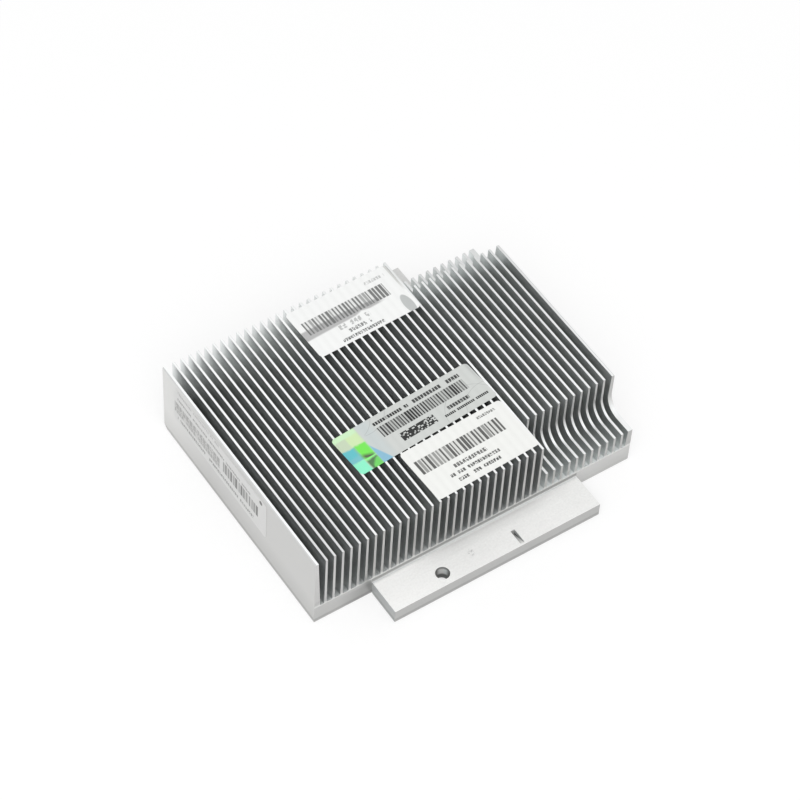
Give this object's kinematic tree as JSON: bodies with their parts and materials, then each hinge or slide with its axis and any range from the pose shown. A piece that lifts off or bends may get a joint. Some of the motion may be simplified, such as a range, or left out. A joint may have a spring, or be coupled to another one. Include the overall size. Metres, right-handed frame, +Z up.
{
  "type": "heat sink",
  "caption": "Low rectangular heat sink with straight upright fins, stepped down along one side at both ends, on a base plate with a flange at each end for clamping it onto a server processor.",
  "frame": {"origin": "on the underside, under the middle of the block of fins", "axes": "+Z up from the processor, +X across the fins towards the side with the lowered fin ends, +Y along the fins towards the rear; the flange with the nick is at -Y"},
  "size_m": [0.1065, 0.1028, 0.0271],
  "materials": {
    "milled_aluminium": "bare extruded aluminium, fin tips and faces milled bright",
    "rear_sticker": null,
    "seal_sticker": null,
    "front_sticker": null,
    "side_sticker": null
  },
  "bodies": {
    "root": {"heatsink_body": "milled_aluminium", "rear_label": "rear_sticker", "seal_label": "seal_sticker", "front_label": "front_sticker", "side_label": "side_sticker"}
  },
  "joints": []
}
